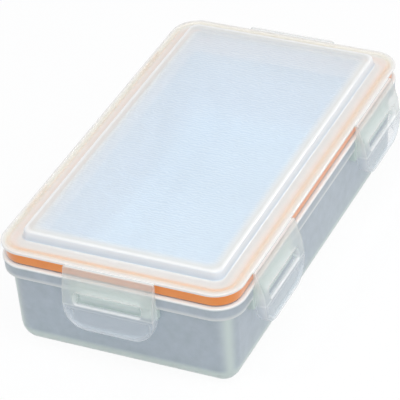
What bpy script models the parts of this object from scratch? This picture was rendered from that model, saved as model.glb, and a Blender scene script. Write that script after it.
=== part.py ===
"""Battery case: a frosted polypropylene box with a sealed, hinged lid and four flap latches.

The origin is the middle of the tub's underside. X runs across the box, Y along it, Z up. The hinges are on the -X
side, two latches on the +X side, and one latch on each short side.
"""
import math

import bmesh
import bpy
from mathutils import Matrix, Vector

MM = 0.001

# Overall plan, shared by the lid's flange and the tub's rim
FLANGE_WIDTH = 80.0 * MM
FLANGE_LENGTH = 140.0 * MM
FLANGE_CORNER = 9.0 * MM
INNER_CORNER = 3.0 * MM
CLEARANCE = 0.3 * MM

# Tub
RIM_HEIGHT = 32.4 * MM
LIP_THICKNESS = 0.8 * MM
COLLAR_HEIGHT = 4.0 * MM
COLLAR_INSET = 0.3 * MM
WALL_INSET = 2.5 * MM
WALL_THICKNESS = 1.6 * MM
FLOOR_THICKNESS = 1.8 * MM
WALL_DRAFT = math.radians(1.5)
BOTTOM_RADIUS = 7.0 * MM
EDGE_RADIUS = 0.45 * MM

# Sealing ridge on the rim, and its groove in the seal
RIDGE_WIDTH = 0.8 * MM
RIDGE_HEIGHT = 1.0 * MM
RIDGE_SET = 0.5 * MM
GROOVE_PLAY = 0.35 * MM

# Seal
SEAL_HEIGHT = 3.7 * MM
SEAL_WIDTH = 4.2 * MM
SEAL_INSET = 1.2 * MM
SEAL_EDGE = 0.5 * MM

# Lid
FLANGE_THICKNESS = 1.0 * MM
LID_WALL = 1.5 * MM
PANEL_INSET = 6.6 * MM
PANEL_RISE = 3.0 * MM
PANEL_DRAFT = math.radians(10.0)
PANEL_EDGE = 0.7 * MM
PLUG_DEPTH = 7.6 * MM
PLUG_THICKNESS = 1.2 * MM

# Latches
LATCH_WIDTH = 30.0 * MM
LATCH_LENGTH = 20.3 * MM
LATCH_AXIS_DROP = 0.5 * MM
LATCH_ROOT = 1.0 * MM
LATCH_SHOULDER_DROP = 6.6 * MM
LATCH_SHOULDER_PROUD = 3.4 * MM
LATCH_SHOULDER_RADIUS = 3.5 * MM
LATCH_RIDGE_DROP = 11.4 * MM
LATCH_RIDGE_PROUD = 4.0 * MM
LATCH_WALL = 1.5 * MM
TAB_CORNER = 7.5 * MM
TAB_RIM = 1.3 * MM
TAB_EDGE = 0.8 * MM
TAB_BEVEL = 0.5 * MM
TAB_DISH_DEPTH = 0.7 * MM
TAB_DISH_SLOPE = 0.6 * MM
SLOT_WIDTH = 22.4 * MM
SLOT_HEIGHT = 4.0 * MM
SLOT_DROP = 7.2 * MM
SLOT_CORNER = 0.9 * MM
CHANNEL_WIDTH = 25.8 * MM
SIDE_LATCH_FROM_END = 29.0 * MM

# Catch blocks and nibs on the tub
BLOCK_DROP = 4.4 * MM
BLOCK_INSET = 0.2 * MM
BLOCK_WIDTH = 29.0 * MM
NIB_WIDTH = 20.0 * MM
NIB_PROUD = 2.0 * MM
NIB_PLAY_ABOVE = 0.6 * MM
NIB_PLAY_BELOW = 0.4 * MM
NIB_SLOPE = 0.9 * MM

# Hinges
HINGE_OUTSET = 0.6 * MM
HINGE_DROP = 0.9 * MM
HINGE_BARREL_RADIUS = 1.9 * MM
PIN_RADIUS = 0.8 * MM
KNUCKLE_WIDTH = 14.0 * MM
KNUCKLE_ARM = 1.3 * MM
KNUCKLE_ARM_OUTSET = 0.3 * MM
LUG_WIDTH = 3.0 * MM

# Mesh fineness
CORNER_STEPS = 10
FILLET_STEPS = 3
WIDE_FILLET_STEPS = 6
ROUND_STEPS = 24
OVERSHOOT = 2.0 * MM

# Heights that follow from the sizes above
LIP_BOTTOM = RIM_HEIGHT - LIP_THICKNESS
COLLAR_BOTTOM = LIP_BOTTOM - COLLAR_HEIGHT
SEAL_BOTTOM = RIM_HEIGHT + CLEARANCE
FLANGE_BOTTOM = SEAL_BOTTOM + SEAL_HEIGHT + CLEARANCE
FLANGE_TOP = FLANGE_BOTTOM + FLANGE_THICKNESS
PANEL_TOP = FLANGE_TOP + PANEL_RISE
PLUG_BOTTOM = FLANGE_BOTTOM - PLUG_DEPTH
LATCH_AXIS_HEIGHT = FLANGE_TOP - LATCH_AXIS_DROP
LATCH_AXIS_OUTSET = CLEARANCE + LATCH_ROOT / 2
HINGE_HEIGHT = RIM_HEIGHT - HINGE_DROP

# Place of the side latches and the hinges along the box, from its middle
SIDE_STATION = FLANGE_LENGTH / 2 - SIDE_LATCH_FROM_END

FRONT = "front"
BACK = "back"
RIGHT = "right"
LEFT = "left"


def wall_inset(height):
    """Distance of the tub's outer wall inside the flange's edge, at a height."""
    return WALL_INSET + math.tan(WALL_DRAFT) * (RIM_HEIGHT - height)


def ridge_middle():
    """Distance of the sealing ridge's middle inside the flange's edge: it stands back from the rim's inner edge."""
    return WALL_INSET + WALL_THICKNESS - RIDGE_SET - RIDGE_WIDTH / 2


def plug_inset():
    """Distance of the plug's outer face inside the flange's edge: clear of the seal and of the tub's inner wall."""
    inside_seal = SEAL_INSET + SEAL_WIDTH
    inside_wall = wall_inset(PLUG_BOTTOM) + WALL_THICKNESS
    return max(inside_seal, inside_wall) + CLEARANCE


def filleted(corners, closed, steps=FILLET_STEPS):
    """Turn corners (across, up, radius) into a path whose corners are arcs tangent to both sides."""
    path = []
    count = len(corners)
    for index, (across, up, radius) in enumerate(corners):
        here = Vector((across, up))
        at_end = not closed and index in (0, count - 1)
        if radius == 0 or at_end:
            path.append(here)
            continue
        before = Vector(corners[index - 1][:2]) - here
        after = Vector(corners[(index + 1) % count][:2]) - here
        half_angle = before.angle(after) / 2
        room = 0.499 * min(before.length, after.length)
        tangent = min(radius / math.tan(half_angle), room)
        fitted = tangent * math.tan(half_angle)
        middle = (before.normalized() + after.normalized()).normalized()
        centre = here + middle * fitted / math.sin(half_angle)
        first = here + before.normalized() * tangent - centre
        turn = first.angle_signed(here + after.normalized() * tangent - centre)
        for step in range(steps + 1):
            angle = turn * step / steps
            path.append(centre + Matrix.Rotation(-angle, 2) @ first)
    return path


def outline(inset, height):
    """Rounded rectangle at an inset from the flange's edge: corners share a centre until they get too small."""
    half_width = FLANGE_WIDTH / 2 - inset
    half_length = FLANGE_LENGTH / 2 - inset
    radius = max(FLANGE_CORNER - inset, INNER_CORNER)
    points = []
    for quarter, (side_x, side_y) in enumerate(((1, 1), (-1, 1), (-1, -1), (1, -1))):
        centre_x = side_x * (half_width - radius)
        centre_y = side_y * (half_length - radius)
        for step in range(CORNER_STEPS + 1):
            angle = (quarter + step / CORNER_STEPS) * math.pi / 2
            x = centre_x + radius * math.cos(angle)
            y = centre_y + radius * math.sin(angle)
            points.append(Vector((x, y, height)))
    return points


def make_object(name, mesh_builder):
    """Finish a bmesh as a named object with outward faces."""
    bmesh.ops.recalc_face_normals(mesh_builder, faces=mesh_builder.faces)
    mesh = bpy.data.meshes.new(name)
    mesh_builder.to_mesh(mesh)
    mesh_builder.free()
    obj = bpy.data.objects.new(name, mesh)
    bpy.context.scene.collection.objects.link(obj)
    return obj


def loft_outlines(name, path, closed):
    """Sweep a path of (inset, height) round the box. An open path gets a flat cap at each end."""
    builder = bmesh.new()
    rings = [[builder.verts.new(point) for point in outline(inset, height)] for inset, height in path]
    spans = len(rings) if closed else len(rings) - 1
    for index in range(spans):
        lower = rings[index]
        upper = rings[(index + 1) % len(rings)]
        for corner in range(len(lower)):
            following = (corner + 1) % len(lower)
            builder.faces.new((lower[corner], lower[following], upper[following], upper[corner]))
    if not closed:
        builder.faces.new(rings[0])
        builder.faces.new(rings[-1])
    return make_object(name, builder)


def loft_sections(name, sections, direction):
    """Join closed paths of like points, each at a distance along a direction, and close both ends."""
    builder = bmesh.new()
    rings = []
    for distance, path in sections:
        if direction == "along":
            ring = [builder.verts.new((across, distance, up)) for across, up in path]
        else:
            ring = [builder.verts.new((distance, across, up)) for across, up in path]
        rings.append(ring)
    for near, far in zip(rings, rings[1:]):
        for index in range(len(near)):
            following = (index + 1) % len(near)
            builder.faces.new((near[index], near[following], far[following], far[index]))
    builder.faces.new(rings[0])
    builder.faces.new(rings[-1])
    return make_object(name, builder)


def prism(name, path, direction, start, end):
    """Extrude a closed path along a direction. The path lies in the plane of the other two axes."""
    return loft_sections(name, ((start, path), (end, path)), direction)


def box_path(left, right, bottom, top):
    """Rectangle as a closed path."""
    return [(left, bottom), (right, bottom), (right, top), (left, top)]


def circle_path(across, up, radius):
    """Circle as a closed path."""
    path = []
    for step in range(ROUND_STEPS):
        angle = 2 * math.pi * step / ROUND_STEPS
        path.append((across + radius * math.cos(angle), up + radius * math.sin(angle)))
    return path


def boolean(target, tool, operation):
    """Apply a boolean between two objects and discard the tool."""
    modifier = target.modifiers.new(operation.title(), "BOOLEAN")
    modifier.object = tool
    modifier.operation = operation
    modifier.solver = "EXACT"
    graph = bpy.context.evaluated_depsgraph_get()
    shaped = bpy.data.meshes.new_from_object(target.evaluated_get(graph))
    target.modifiers.clear()
    target.data = shaped
    bpy.data.objects.remove(tool)


def side_frame(side, station=0.0):
    """Matrix from a side's own axes (out of the box, along the side, up) to the box's axes."""
    turns = {RIGHT: 0, BACK: 1, LEFT: 2, FRONT: 3}[side]
    reach = FLANGE_WIDTH / 2 if side in (RIGHT, LEFT) else FLANGE_LENGTH / 2
    offset = -station if side == LEFT else station
    turn = Matrix.Rotation(turns * math.pi / 2, 4, "Z")
    return turn @ Matrix.Translation((reach, offset, 0))


def add_feature(target, feature, frame, operation="UNION"):
    """Move a feature from a side's axes to the box and join it to, or cut it from, a piece."""
    feature.data.transform(frame)
    bpy.context.view_layer.update()
    boolean(target, feature, operation)


def make_material(name, colour, roughness, metallic=0.0):
    """Plain material with a colour in linear values."""
    material = bpy.data.materials.new(name)
    material.use_nodes = True
    shader = material.node_tree.nodes["Principled BSDF"]
    shader.inputs["Base Color"].default_value = (*colour, 1.0)
    shader.inputs["Roughness"].default_value = roughness
    shader.inputs["Metallic"].default_value = metallic
    return material


def latch_sites():
    """Name and side frame of each latch."""
    return (
        ("latch_front", side_frame(FRONT)),
        ("latch_back", side_frame(BACK)),
        ("latch_right_front", side_frame(RIGHT, -SIDE_STATION)),
        ("latch_right_rear", side_frame(RIGHT, SIDE_STATION)),
    )


def hinge_sites():
    """Name and side frame of each hinge."""
    return (
        ("hinge_pin_front", side_frame(LEFT, -SIDE_STATION)),
        ("hinge_pin_rear", side_frame(LEFT, SIDE_STATION)),
    )


def tub_path():
    """Section of the tub from the middle of its underside, round the rim, to the middle of its floor."""
    foot = wall_inset(0)
    inner_foot = wall_inset(FLOOR_THICKNESS) + WALL_THICKNESS
    inner_radius = BOTTOM_RADIUS - WALL_THICKNESS
    ridge_outer = ridge_middle() - RIDGE_WIDTH / 2
    ridge_inner = ridge_middle() + RIDGE_WIDTH / 2
    ridge_top = RIM_HEIGHT + RIDGE_HEIGHT
    outside = filleted(
        (
            (foot + 2 * BOTTOM_RADIUS + EDGE_RADIUS, 0, 0),
            (foot, 0, BOTTOM_RADIUS),
            (wall_inset(COLLAR_BOTTOM), COLLAR_BOTTOM, 0),
        ),
        closed=False,
        steps=WIDE_FILLET_STEPS,
    )
    rim = filleted(
        (
            (wall_inset(COLLAR_BOTTOM), COLLAR_BOTTOM, 0),
            (COLLAR_INSET, COLLAR_BOTTOM, EDGE_RADIUS),
            (COLLAR_INSET, LIP_BOTTOM, 0),
            (0, LIP_BOTTOM, EDGE_RADIUS),
            (0, RIM_HEIGHT, EDGE_RADIUS),
            (ridge_outer, RIM_HEIGHT, 0),
            (ridge_outer, ridge_top, RIDGE_WIDTH / 2),
            (ridge_inner, ridge_top, RIDGE_WIDTH / 2),
            (ridge_inner, RIM_HEIGHT, 0),
            (WALL_INSET + WALL_THICKNESS, RIM_HEIGHT, EDGE_RADIUS),
            (inner_foot, FLOOR_THICKNESS, 0),
        ),
        closed=False,
    )
    inside = filleted(
        (
            (WALL_INSET + WALL_THICKNESS, RIM_HEIGHT, 0),
            (inner_foot, FLOOR_THICKNESS, inner_radius),
            (inner_foot + 2 * inner_radius + EDGE_RADIUS, FLOOR_THICKNESS, 0),
        ),
        closed=False,
        steps=WIDE_FILLET_STEPS,
    )
    return outside + rim[1:-1] + inside[1:]


def catch_block():
    """Block under the lip that backs a latch, flat-faced and nearly flush with the lip."""
    deep = wall_inset(COLLAR_BOTTOM) + WALL_THICKNESS / 2
    bottom = COLLAR_BOTTOM - BLOCK_DROP
    top = LIP_BOTTOM + LIP_THICKNESS / 2
    path = filleted(
        (
            (-deep, bottom, 0),
            (-BLOCK_INSET, bottom, EDGE_RADIUS),
            (-BLOCK_INSET, top, 0),
            (-deep, top, 0),
        ),
        closed=True,
    )
    return prism("catch_block", path, "along", -BLOCK_WIDTH / 2, BLOCK_WIDTH / 2)


def catch_nib():
    """Nib that stands in the latch's slot: flat below, sloped above so that the latch rides over it."""
    slot_top = LATCH_AXIS_HEIGHT - SLOT_DROP
    top = slot_top - NIB_PLAY_ABOVE
    bottom = slot_top - SLOT_HEIGHT + NIB_PLAY_BELOW
    deep = BLOCK_INSET + EDGE_RADIUS
    path = filleted(
        (
            (-deep, bottom, 0),
            (NIB_PROUD, bottom, EDGE_RADIUS),
            (NIB_PROUD, top - NIB_SLOPE, EDGE_RADIUS),
            (NIB_PROUD - NIB_SLOPE, top, EDGE_RADIUS),
            (-deep, top, 0),
        ),
        closed=True,
    )
    return prism("catch_nib", path, "along", -NIB_WIDTH / 2, NIB_WIDTH / 2)


def hinge_half_span():
    """Half the length of a hinge, over its two lugs."""
    return KNUCKLE_WIDTH / 2 + CLEARANCE + LUG_WIDTH


def knuckle_room():
    """Cutter that clears the tub's lip and collar round a knuckle and its arm."""
    reach = HINGE_BARREL_RADIUS + CLEARANCE
    inner = HINGE_OUTSET - reach
    half = KNUCKLE_WIDTH / 2 + CLEARANCE
    path = box_path(inner, OVERSHOOT, HINGE_HEIGHT - reach, RIM_HEIGHT + OVERSHOOT)
    return prism("knuckle_room", path, "along", -half, half)


def hinge_lug(sign):
    """Round-nosed lug that carries one end of a hinge pin."""
    deep = wall_inset(COLLAR_BOTTOM)
    radius = HINGE_BARREL_RADIUS
    path = filleted(
        (
            (-deep, HINGE_HEIGHT - radius, 0),
            (HINGE_OUTSET + radius, HINGE_HEIGHT - radius, radius),
            (HINGE_OUTSET + radius, HINGE_HEIGHT + radius, radius),
            (HINGE_OUTSET - radius / 2, HINGE_HEIGHT + radius, radius / 2),
            (-COLLAR_INSET, RIM_HEIGHT - EDGE_RADIUS, 0),
            (-deep, RIM_HEIGHT - EDGE_RADIUS, 0),
        ),
        closed=True,
        steps=WIDE_FILLET_STEPS,
    )
    start = sign * (KNUCKLE_WIDTH / 2 + CLEARANCE)
    return prism("hinge_lug", path, "along", start, sign * hinge_half_span())


def pin_bore():
    """Cutter for the pin's bore through lugs and knuckle."""
    path = circle_path(HINGE_OUTSET, HINGE_HEIGHT, PIN_RADIUS + CLEARANCE)
    reach = hinge_half_span() + OVERSHOOT
    return prism("pin_bore", path, "along", -reach, reach)


def make_tub(material):
    """Open tub with rim, collar, catch blocks, nibs and hinge lugs."""
    tub = loft_outlines("base_tub", tub_path(), closed=False)
    for _, frame in latch_sites():
        add_feature(tub, catch_block(), frame)
        add_feature(tub, catch_nib(), frame)
    for _, frame in hinge_sites():
        add_feature(tub, knuckle_room(), frame, "DIFFERENCE")
        add_feature(tub, hinge_lug(1), frame)
        add_feature(tub, hinge_lug(-1), frame)
        add_feature(tub, pin_bore(), frame, "DIFFERENCE")
    tub.data.materials.append(material)
    return tub


def lid_path():
    """Section of the lid from the middle of its panel, over the flange and the plug, to the panel's underside."""
    lean = math.tan(PANEL_DRAFT)
    plug_outer = plug_inset()
    plug_inner = plug_outer + PLUG_THICKNESS
    hollow = max(PANEL_INSET + LID_WALL, plug_inner + CLEARANCE)
    under = PANEL_TOP - LID_WALL
    top_inset = PANEL_INSET + lean * PANEL_RISE
    corners = (
        (top_inset + LID_WALL + PANEL_EDGE, PANEL_TOP, 0),
        (top_inset, PANEL_TOP, PANEL_EDGE),
        (PANEL_INSET, FLANGE_TOP, EDGE_RADIUS),
        (0, FLANGE_TOP, EDGE_RADIUS),
        (0, FLANGE_BOTTOM, EDGE_RADIUS),
        (plug_outer, FLANGE_BOTTOM, 0),
        (plug_outer, PLUG_BOTTOM, EDGE_RADIUS),
        (plug_inner, PLUG_BOTTOM, EDGE_RADIUS),
        (plug_inner, FLANGE_BOTTOM, 0),
        (hollow, FLANGE_BOTTOM, 0),
        (hollow + lean * (under - FLANGE_BOTTOM), under, 0),
    )
    return filleted(corners, closed=False)


def knuckle():
    """Barrel round the pin, hung from the flange by a flat arm."""
    inner = KNUCKLE_ARM_OUTSET - KNUCKLE_ARM
    barrel = prism(
        "knuckle",
        circle_path(HINGE_OUTSET, HINGE_HEIGHT, HINGE_BARREL_RADIUS),
        "along",
        -KNUCKLE_WIDTH / 2,
        KNUCKLE_WIDTH / 2,
    )
    arm_path = (
        (inner, HINGE_HEIGHT),
        (KNUCKLE_ARM_OUTSET, HINGE_HEIGHT),
        (KNUCKLE_ARM_OUTSET, FLANGE_BOTTOM - EDGE_RADIUS),
        (-EDGE_RADIUS, FLANGE_BOTTOM + FLANGE_THICKNESS / 2),
        (inner, FLANGE_BOTTOM + FLANGE_THICKNESS / 2),
    )
    arm = prism("knuckle_arm", arm_path, "along", -KNUCKLE_WIDTH / 2, KNUCKLE_WIDTH / 2)
    boolean(barrel, arm, "UNION")
    return barrel


def make_lid(material):
    """Lid with flange, raised panel, plug wall and two hinge knuckles."""
    lid = loft_outlines("lid_cover", lid_path(), closed=False)
    for _, frame in hinge_sites():
        add_feature(lid, knuckle(), frame)
        add_feature(lid, pin_bore(), frame, "DIFFERENCE")
    lid.data.materials.append(material)
    return lid


def make_seal(material):
    """Silicone ring between the rim and the flange, round the plug, with a groove over the rim's ridge."""
    inner = SEAL_INSET + SEAL_WIDTH
    top = SEAL_BOTTOM + SEAL_HEIGHT
    groove_reach = RIDGE_WIDTH / 2 + GROOVE_PLAY
    groove_outer = ridge_middle() - groove_reach
    groove_inner = ridge_middle() + groove_reach
    groove_top = RIM_HEIGHT + RIDGE_HEIGHT + CLEARANCE
    path = filleted(
        (
            (SEAL_INSET, SEAL_BOTTOM, SEAL_EDGE),
            (SEAL_INSET, top, SEAL_EDGE),
            (inner, top, SEAL_EDGE),
            (inner, SEAL_BOTTOM, SEAL_EDGE),
            (groove_inner, SEAL_BOTTOM, 0),
            (groove_inner, groove_top, GROOVE_PLAY),
            (groove_outer, groove_top, GROOVE_PLAY),
            (groove_outer, SEAL_BOTTOM, 0),
        ),
        closed=True,
    )
    seal = loft_outlines("seal_ring", path, closed=True)
    seal.data.materials.append(material)
    return seal


def latch_side_path():
    """Side section of a latch about its axis: thin root, spreading strap, ridge below the slot, thick tab."""
    inner = -LATCH_ROOT / 2
    shoulder = LATCH_SHOULDER_PROUD - LATCH_AXIS_OUTSET
    ridge = LATCH_RIDGE_PROUD - LATCH_AXIS_OUTSET
    return filleted(
        (
            (inner, LATCH_ROOT / 2, LATCH_ROOT / 2),
            (LATCH_ROOT / 2, LATCH_ROOT / 2, LATCH_ROOT / 2),
            (shoulder, -LATCH_SHOULDER_DROP, LATCH_SHOULDER_RADIUS),
            (ridge, -LATCH_RIDGE_DROP, EDGE_RADIUS),
            (ridge, -LATCH_LENGTH, TAB_EDGE),
            (inner, -LATCH_LENGTH, EDGE_RADIUS),
        ),
        closed=True,
    )


def tab_outline(inset, top):
    """Front outline of a latch: straight sides and round lower corners."""
    half = LATCH_WIDTH / 2 - inset
    bottom = -LATCH_LENGTH + inset
    return filleted(
        (
            (half, top, 0),
            (half, bottom, TAB_CORNER - inset),
            (-half, bottom, TAB_CORNER - inset),
            (-half, top, 0),
        ),
        closed=True,
        steps=WIDE_FILLET_STEPS,
    )


def latch_blank():
    """Cutter that keeps a latch's front outline, with a bevel round the tab's face."""
    face = LATCH_RIDGE_PROUD - LATCH_AXIS_OUTSET
    sections = (
        (-OVERSHOOT, tab_outline(0, LATCH_ROOT)),
        (face - TAB_BEVEL, tab_outline(0, LATCH_ROOT)),
        (face + TAB_BEVEL, tab_outline(2 * TAB_BEVEL, LATCH_ROOT)),
    )
    return loft_sections("latch_blank", sections, "out")


def latch_channel():
    """Cutter behind the tab: lets the nib pass when the lid swings with the latch down."""
    depth = NIB_PROUD + CLEARANCE - LATCH_AXIS_OUTSET
    half = CHANNEL_WIDTH / 2
    slot_bottom = -SLOT_DROP - SLOT_HEIGHT
    path = box_path(-OVERSHOOT, depth, -LATCH_LENGTH - OVERSHOOT, slot_bottom + CLEARANCE)
    return prism("latch_channel", path, "along", -half, half)


def strap_pocket():
    """Cutter behind the strap: a pocket parallel to its face, which leaves an even wall between two side ribs."""
    half = SLOT_WIDTH / 2
    inner = -LATCH_ROOT / 2
    shoulder = LATCH_SHOULDER_PROUD - LATCH_AXIS_OUTSET
    spread = (shoulder + inner) / LATCH_SHOULDER_DROP
    start = (LATCH_WALL - LATCH_ROOT) / spread
    end = SLOT_DROP + CLEARANCE
    path = (
        (inner - OVERSHOOT, -start),
        (inner, -start),
        (shoulder - LATCH_WALL, -LATCH_SHOULDER_DROP),
        (shoulder - LATCH_WALL, -end),
        (inner - OVERSHOOT, -end),
    )
    return prism("strap_pocket", path, "along", -half, half)


def latch_slot():
    """Cutter for the slot that the nib shows through."""
    half = SLOT_WIDTH / 2
    top = -SLOT_DROP
    bottom = top - SLOT_HEIGHT
    corners = ((half, top), (half, bottom), (-half, bottom), (-half, top))
    path = filleted([(across, up, SLOT_CORNER) for across, up in corners], closed=True)
    return prism("latch_slot", path, "out", -OVERSHOOT, LATCH_RIDGE_PROUD + OVERSHOOT)


def tab_dish():
    """Cutter for the shallow finger dish in the tab's face, with sloped walls that meet the face at the tab's rim."""
    face = LATCH_RIDGE_PROUD - LATCH_AXIS_OUTSET
    deep = TAB_RIM + TAB_DISH_SLOPE
    shallow = TAB_RIM - TAB_DISH_SLOPE
    sections = (
        (face - TAB_DISH_DEPTH, tab_outline(deep, -LATCH_RIDGE_DROP - deep)),
        (face + TAB_DISH_DEPTH, tab_outline(shallow, -LATCH_RIDGE_DROP - shallow)),
    )
    return loft_sections("tab_dish", sections, "out")


def latch_mesh():
    """Latch about its own axis, with X out of the box and Y along its side."""
    half = LATCH_WIDTH / 2
    latch = prism("latch", latch_side_path(), "along", -half, half)
    boolean(latch, latch_blank(), "INTERSECT")
    boolean(latch, latch_channel(), "DIFFERENCE")
    boolean(latch, strap_pocket(), "DIFFERENCE")
    boolean(latch, latch_slot(), "DIFFERENCE")
    boolean(latch, tab_dish(), "DIFFERENCE")
    mesh = latch.data.copy()
    bpy.data.objects.remove(latch)
    return mesh


def make_latches(material):
    """Four latches, each with its origin on its hinge axis."""
    shape = latch_mesh()
    for name, frame in latch_sites():
        mesh = shape.copy()
        mesh.name = name
        mesh.materials.append(material)
        latch = bpy.data.objects.new(name, mesh)
        bpy.context.scene.collection.objects.link(latch)
        latch.matrix_world = frame @ Matrix.Translation((LATCH_AXIS_OUTSET, 0, LATCH_AXIS_HEIGHT))


def make_pins(material):
    """Two hinge pins, each with its origin on the lid's axis."""
    half = hinge_half_span() - CLEARANCE
    for name, frame in hinge_sites():
        pin = prism(name, circle_path(0, 0, PIN_RADIUS), "along", -half, half)
        pin.data.materials.append(material)
        pin.matrix_world = frame @ Matrix.Translation((HINGE_OUTSET, 0, HINGE_HEIGHT))


def main():
    for obj in list(bpy.data.objects):
        bpy.data.objects.remove(obj)
    make_tub(make_material("frosted polypropylene tub", (0.42, 0.49, 0.55), 0.35))
    make_lid(make_material("frosted polypropylene lid", (0.62, 0.74, 0.86), 0.3))
    make_seal(make_material("orange silicone", (0.80, 0.22, 0.05), 0.45))
    make_latches(make_material("frosted polypropylene latch", (0.55, 0.62, 0.66), 0.35))
    make_pins(make_material("bright steel pin", (0.55, 0.55, 0.56), 0.3, 1.0))


main()
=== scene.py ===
"""Battery case: a frosted polypropylene box with a hinged lid, an orange seal and four flap latches.

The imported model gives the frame, in metres, with +Z up and the origin at the middle of the tub's underside. Tub, lid,
seal and latches are drawn again here as fine surfaces on the same sizes, with the hinges' lugs and knuckles. The hinge
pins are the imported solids.
"""

import math

import bpy
import numpy as np
from mathutils import Matrix

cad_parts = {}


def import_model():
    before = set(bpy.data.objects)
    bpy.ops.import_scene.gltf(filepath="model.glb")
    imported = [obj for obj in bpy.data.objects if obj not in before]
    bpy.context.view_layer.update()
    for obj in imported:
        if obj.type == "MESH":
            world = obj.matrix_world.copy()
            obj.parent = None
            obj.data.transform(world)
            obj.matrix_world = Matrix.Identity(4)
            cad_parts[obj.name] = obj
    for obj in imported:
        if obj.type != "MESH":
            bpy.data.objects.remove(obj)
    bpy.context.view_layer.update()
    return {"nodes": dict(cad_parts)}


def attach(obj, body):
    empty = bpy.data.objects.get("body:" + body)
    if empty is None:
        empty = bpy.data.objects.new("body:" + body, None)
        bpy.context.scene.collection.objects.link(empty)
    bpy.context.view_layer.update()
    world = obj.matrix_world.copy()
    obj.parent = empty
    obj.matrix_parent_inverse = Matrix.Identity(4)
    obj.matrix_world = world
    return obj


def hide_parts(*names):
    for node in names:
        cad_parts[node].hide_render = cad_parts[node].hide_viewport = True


MM = 0.001

# Plan of the box: the lid's flange and the tub's rim
FLANGE_WIDTH = 80.0 * MM
FLANGE_LENGTH = 140.0 * MM
FLANGE_CORNER = 9.0 * MM
INNER_CORNER = 3.0 * MM
CLEARANCE = 0.3 * MM

# Tub
RIM_HEIGHT = 32.4 * MM
LIP_THICKNESS = 0.8 * MM
COLLAR_HEIGHT = 4.0 * MM
COLLAR_INSET = 0.3 * MM
WALL_INSET = 2.5 * MM
WALL_THICKNESS = 1.6 * MM
FLOOR_THICKNESS = 1.8 * MM
WALL_DRAFT = math.radians(1.5)
BOTTOM_RADIUS = 7.0 * MM
EDGE_RADIUS = 0.45 * MM

# Sealing ridge on the rim, and its groove in the seal
RIDGE_WIDTH = 0.8 * MM
RIDGE_HEIGHT = 1.0 * MM
RIDGE_SET = 0.5 * MM
GROOVE_PLAY = 0.35 * MM

# Seal
SEAL_HEIGHT = 3.7 * MM
SEAL_WIDTH = 4.2 * MM
SEAL_INSET = 1.2 * MM
SEAL_EDGE = 0.5 * MM

# Lid
FLANGE_THICKNESS = 1.0 * MM
LID_WALL = 1.5 * MM
PANEL_INSET = 6.6 * MM
PANEL_RISE = 3.0 * MM
PANEL_DRAFT = math.radians(10.0)
PANEL_EDGE = 0.7 * MM
PLUG_DEPTH = 7.6 * MM
PLUG_THICKNESS = 1.2 * MM

# Latches, about their own axis
LATCH_WIDTH = 30.0 * MM
LATCH_LENGTH = 20.3 * MM
LATCH_AXIS_DROP = 0.5 * MM
LATCH_ROOT = 1.0 * MM
LATCH_SHOULDER_DROP = 6.6 * MM
LATCH_SHOULDER_PROUD = 3.4 * MM
LATCH_SHOULDER_RADIUS = 3.5 * MM
LATCH_RIDGE_DROP = 11.4 * MM
LATCH_RIDGE_PROUD = 4.0 * MM
LATCH_WALL = 1.5 * MM
LATCH_EDGE = 0.5 * MM
LATCH_WEB = 0.6 * MM
TAB_CORNER = 7.5 * MM
TAB_TOP_CORNER = 0.6 * MM
TAB_RIM = 1.3 * MM
TAB_EDGE = 0.8 * MM
TAB_DISH_DEPTH = 0.7 * MM
TAB_DISH_SLOPE = (-0.1 * MM, 0.6 * MM)
SLOT_WIDTH = 22.4 * MM
SLOT_HEIGHT = 4.0 * MM
SLOT_DROP = 7.2 * MM
SLOT_CORNER = 0.9 * MM
CHANNEL_WIDTH = 25.8 * MM
POCKET_SLOPE = 0.3 * MM
SIDE_LATCH_FROM_END = 29.0 * MM

# Catch blocks and nibs
BLOCK_DROP = 4.4 * MM
BLOCK_INSET = 0.2 * MM
BLOCK_WIDTH = 29.0 * MM
NIB_WIDTH = 20.0 * MM
NIB_PROUD = 2.0 * MM
NIB_PLAY_ABOVE = 0.6 * MM
NIB_PLAY_BELOW = 0.4 * MM
NIB_SLOPE = 0.9 * MM

# Hinges
HINGE_OUTSET = 0.6 * MM
HINGE_DROP = 0.9 * MM
HINGE_BARREL_RADIUS = 1.9 * MM
PIN_RADIUS = 0.8 * MM
KNUCKLE_WIDTH = 14.0 * MM
KNUCKLE_ARM = 1.3 * MM
KNUCKLE_ARM_OUTSET = 0.3 * MM
KNUCKLE_ARM_EDGE = 0.1 * MM
LUG_WIDTH = 3.0 * MM
HINGE_CHAMFER = 0.2 * MM

# Levels and places that follow from the sizes
LIP_BOTTOM = RIM_HEIGHT - LIP_THICKNESS
COLLAR_BOTTOM = LIP_BOTTOM - COLLAR_HEIGHT
SEAL_BOTTOM = RIM_HEIGHT + CLEARANCE
SEAL_TOP = SEAL_BOTTOM + SEAL_HEIGHT
FLANGE_BOTTOM = SEAL_TOP + CLEARANCE
FLANGE_TOP = FLANGE_BOTTOM + FLANGE_THICKNESS
PANEL_TOP = FLANGE_TOP + PANEL_RISE
PLUG_BOTTOM = FLANGE_BOTTOM - PLUG_DEPTH
LATCH_AXIS_HEIGHT = FLANGE_TOP - LATCH_AXIS_DROP
LATCH_AXIS_OUTSET = CLEARANCE + LATCH_ROOT / 2
HINGE_HEIGHT = RIM_HEIGHT - HINGE_DROP
SIDE_STATION = FLANGE_LENGTH / 2 - SIDE_LATCH_FROM_END

# A touch of air between two drawn pieces of one moulding, so that their faces never coincide
SEAM = 0.02 * MM

# Share of lip and collar left standing in a knuckle's room, so that no two of its points fall together
KNUCKLE_ROOM_SPREAD = 0.01

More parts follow.
